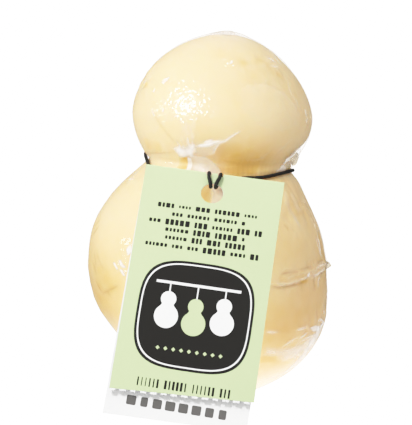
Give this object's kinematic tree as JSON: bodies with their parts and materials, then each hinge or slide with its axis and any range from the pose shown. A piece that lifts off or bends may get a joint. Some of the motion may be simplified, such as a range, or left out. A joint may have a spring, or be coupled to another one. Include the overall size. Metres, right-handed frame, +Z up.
{
  "type": "wrapped scamorza cheese",
  "caption": "Two-lobed, pear-shaped stretched-curd cheese in a clear sealed bag, with an elastic cord round its neck that holds a folded card tag.",
  "frame": {"origin": "centre of the cheese's flat foot, on the surface that it stands on", "axes": "+Z up through the neck to the crown, -Y to the front, where the card hangs, +X to the right as seen from the front"},
  "size_m": [0.0794, 0.0896, 0.117],
  "materials": {
    "bagged_cheese": "clear film drawn tight over pale cheese",
    "cord": "braided elastic",
    "card": "matt printed card"
  },
  "bodies": {
    "root": {"wrapped_cheese": "bagged_cheese", "neck_cord": "cord", "hang_tag": "card"}
  },
  "joints": []
}
